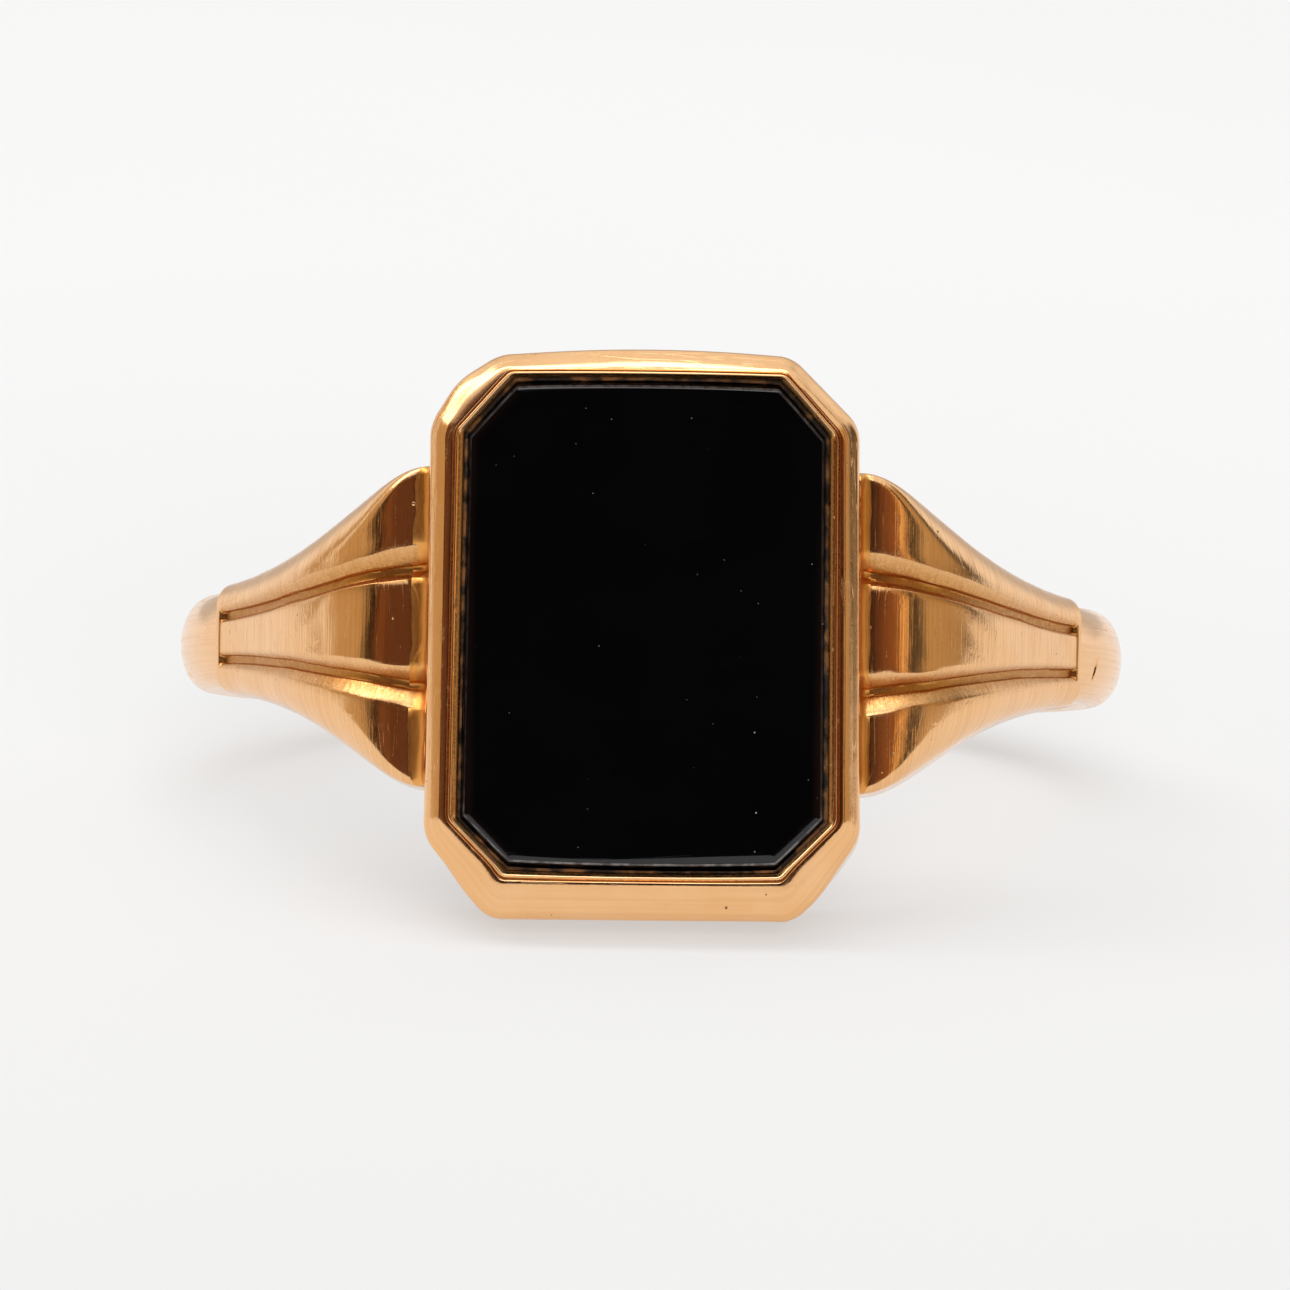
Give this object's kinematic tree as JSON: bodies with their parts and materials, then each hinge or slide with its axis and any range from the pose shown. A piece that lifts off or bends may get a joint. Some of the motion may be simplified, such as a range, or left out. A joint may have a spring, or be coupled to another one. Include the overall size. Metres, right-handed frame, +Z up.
{
  "type": "signet ring",
  "caption": "Gold signet ring: a flat black stone with cut corners in a rimmed box bezel, between flared fluted shoulders on a thin half-round shank.",
  "frame": {"origin": "centre of the finger hole, on its axis and halfway along it", "axes": "+Z up as the ring lies on a table, on the lower edge of its bezel and the back of its shank; the stone faces -Y and leans back 14.6 degrees, so the finger hole's axis leans as much from +Z; X runs across the ring, from shoulder to shoulder"},
  "size_m": [0.021, 0.0236, 0.0124],
  "materials": {
    "gold": "polished",
    "solder": "satin",
    "onyx": "polished",
    "cement": "matte"
  },
  "bodies": {
    "root": {"shank": "gold", "left_shoulder": "gold", "right_shoulder": "gold", "left_solder_seam": "solder", "right_solder_seam": "solder", "bezel_wall": "gold", "stone_seat": "gold", "base_plate": "gold", "stone_cement": "cement", "onyx_tablet": "onyx"}
  },
  "joints": []
}
